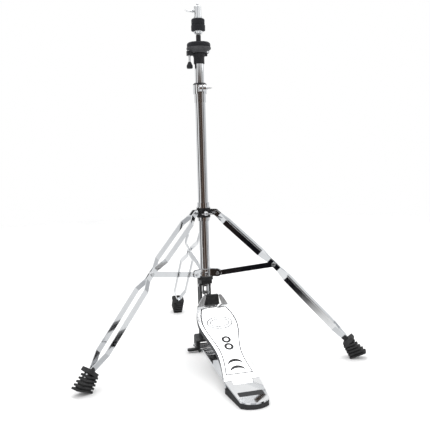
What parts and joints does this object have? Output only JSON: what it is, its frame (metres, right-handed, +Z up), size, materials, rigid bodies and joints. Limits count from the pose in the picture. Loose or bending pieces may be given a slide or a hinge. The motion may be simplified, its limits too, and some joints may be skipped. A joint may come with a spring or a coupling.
{
  "type": "hi-hat stand",
  "caption": "Folding hi-hat stand with a tripod base, pedal, pull rod with clutch, and a tilting cymbal seat on a height tube.",
  "frame": {"origin": "on the floor at the shaft's axis, on the underside of the yoke's shoe", "axes": "+Z up along the shaft, -Y along the pedal towards the heel, +X to the right as the player looks along +Y"},
  "size_m": [0.7016, 0.7795, 0.866],
  "materials": {
    "chrome": "polished chrome plate",
    "plated_steel": "bright zinc and chrome plate",
    "dark_steel": "oiled dark steel",
    "black_paint": "satin black powder coat",
    "black_plastic": "moulded black nylon",
    "grey_plastic": "moulded dark grey plastic",
    "black_felt": "pressed black felt",
    "rubber": "moulded black rubber"
  },
  "bodies": {
    "stand": {"lower_tube": "chrome", "clamp_sleeve": "chrome", "height_clamp": "chrome", "height_bush": "black_plastic", "lower_collar": "chrome", "lower_collar_screw": "plated_steel", "brace_pins": "plated_steel", "yoke": "black_paint", "yoke_bolt": "chrome", "rod_guide": "black_plastic", "return_spring": "dark_steel", "anchor_rods": "chrome", "base_plate": "chrome", "heel_plate": "chrome", "heel_badge": "black_plastic", "heel_pad": "rubber", "heel_pin": "plated_steel"},
    "height_tube": {"upper_tube": "chrome", "seat_base": "black_plastic", "seat_post": "black_plastic", "seat_hinge_pin": "chrome"},
    "seat_cup": {"seat_cup": "grey_plastic", "seat_felt": "black_felt"},
    "tilt_screw": {"tilt_screw": "chrome", "tilt_knob": "black_plastic"},
    "pull_rod": {"pull_rod": "plated_steel", "spring_stop": "plated_steel", "rod_clevis": "plated_steel", "clevis_pin": "plated_steel"},
    "clutch": {"clutch_body": "chrome", "clutch_sleeve": "chrome", "clutch_lock_nut": "chrome", "upper_felt": "black_felt", "lower_felt": "black_felt", "clutch_nut": "chrome"},
    "clutch_screw": {"clutch_screw": "chrome"},
    "chain": {"chain_plates": "dark_steel", "chain_pins": "plated_steel", "chain_rollers": "dark_steel"},
    "footboard": {"footboard": "chrome", "footboard_inlay": "black_plastic", "toe_bracket": "black_paint"},
    "height_screw": {"height_screw": "chrome"},
    "lock_lever": {"lock_lever": "black_paint"},
    "tripod_collar": {"collar_body": "black_paint", "collar_rings": "chrome", "collar_pins": "plated_steel"},
    "collar_screw": {"collar_screw": "chrome"},
    "leg_left": {"leg_left": "chrome", "leg_rivets_left": "plated_steel", "foot_left": "rubber"},
    "brace_left": {"brace_left": "chrome"},
    "leg_right": {"leg_right": "chrome", "leg_rivets_right": "plated_steel", "foot_right": "rubber"},
    "brace_right": {"brace_right": "chrome"},
    "leg_back": {"leg_back": "chrome", "leg_rivets_back": "plated_steel", "foot_back": "rubber"},
    "brace_back": {"brace_back": "chrome"}
  },
  "joints": [
    {"name": "collar_slide", "type": "slide", "parent": "stand", "child": "tripod_collar", "axis": [0, 0, 1], "range_m": [0, 0.18151]},
    {"name": "leg_left_fold", "type": "hinge", "parent": "tripod_collar", "child": "leg_left", "pos_m": [-0.02685, -0.0155, 0.3576], "axis": [0.5, -0.866, 0], "range_deg": [0, 40.2]},
    {"name": "brace_left_fold", "type": "hinge", "parent": "stand", "child": "brace_left", "pos_m": [-0.02858, -0.0165, 0.201], "axis": [-0.5, 0.866, 0], "range_deg": [0, 69.83]},
    {"name": "leg_right_fold", "type": "hinge", "parent": "tripod_collar", "child": "leg_right", "pos_m": [0.02685, -0.0155, 0.3576], "axis": [0.5, 0.866, 0], "range_deg": [0, 40.2]},
    {"name": "brace_right_fold", "type": "hinge", "parent": "stand", "child": "brace_right", "pos_m": [0.02858, -0.0165, 0.201], "axis": [-0.5, -0.866, 0], "range_deg": [0, 69.83]},
    {"name": "leg_back_fold", "type": "hinge", "parent": "tripod_collar", "child": "leg_back", "pos_m": [0, 0.031, 0.3576], "axis": [-1, 0, 0], "range_deg": [0, 40.2]},
    {"name": "brace_back_fold", "type": "hinge", "parent": "stand", "child": "brace_back", "pos_m": [0, 0.033, 0.201], "axis": [1, 0, 0], "range_deg": [0, 69.83]},
    {"name": "height_slide", "type": "slide", "parent": "stand", "child": "height_tube", "axis": [0, 0, 1], "range_m": [-0.034, 0]},
    {"name": "seat_tilt", "type": "hinge", "parent": "height_tube", "child": "seat_cup", "pos_m": [0.0205, 0, 0.75], "axis": [0, 1, 0], "range_deg": [0, 4]},
    {"name": "tilt_screw_turn", "type": "hinge", "parent": "height_tube", "child": "tilt_screw", "pos_m": [-0.024, 0, 0.73], "axis": [0, 0, 1], "range_deg": [0, 1400.5]},
    {"name": "footboard_hinge", "type": "hinge", "parent": "stand", "child": "footboard", "pos_m": [0, -0.2912, 0.0185], "axis": [-1, 0, 0], "range_deg": [0, 3.25]},
    {"name": "rod_slide", "type": "slide", "parent": "stand", "child": "pull_rod", "axis": [0, 0, -1], "range_m": [0, 0.0165], "stiffness_N_per_m": 700, "springref_m": -0.035, "deforming": ["return_spring"]},
    {"name": "chain_swing", "type": "hinge", "parent": "pull_rod", "child": "chain", "pos_m": [0, 0, 0.15], "axis": [1, 0, 0], "range_deg": [0, 12.59]},
    {"name": "clutch_slide", "type": "slide", "parent": "pull_rod", "child": "clutch", "axis": [0, 0, 1], "range_m": [0, 0.01]},
    {"name": "clutch_screw_turn", "type": "hinge", "parent": "clutch", "child": "clutch_screw", "pos_m": [-0.02, 0, 0.8485], "axis": [-1, 0, 0], "range_deg": [0, 360]},
    {"name": "height_screw_turn", "type": "hinge", "parent": "stand", "child": "height_screw", "pos_m": [0.01, -0.0225, 0.6618], "axis": [1, 0, 0], "range_deg": [0, 360]},
    {"name": "collar_screw_turn", "type": "hinge", "parent": "tripod_collar", "child": "collar_screw", "pos_m": [0, -0.03, 0.355], "axis": [0, -1, 0], "range_deg": [0, 360]},
    {"name": "lock_lever_turn", "type": "hinge", "parent": "stand", "child": "lock_lever", "pos_m": [-0.031, -0.015, 0.019], "axis": [-1, 0, 0], "range_deg": [0, 75]}
  ],
  "couplings": [
    {"joint": "leg_left_fold", "follows": "collar_slide", "rad_per_m": 3.8641},
    {"joint": "brace_left_fold", "follows": "collar_slide", "rad_per_m": 6.7139},
    {"joint": "leg_right_fold", "follows": "collar_slide", "rad_per_m": 3.8641},
    {"joint": "brace_right_fold", "follows": "collar_slide", "rad_per_m": 6.7139},
    {"joint": "leg_back_fold", "follows": "collar_slide", "rad_per_m": 3.8641},
    {"joint": "brace_back_fold", "follows": "collar_slide", "rad_per_m": 6.7139},
    {"joint": "tilt_screw_turn", "follows": "seat_tilt", "ratio": 350},
    {"joint": "rod_slide", "follows": "footboard_hinge", "m_per_rad": 0.2907},
    {"joint": "chain_swing", "follows": "footboard_hinge", "ratio": 3.8672}
  ]
}
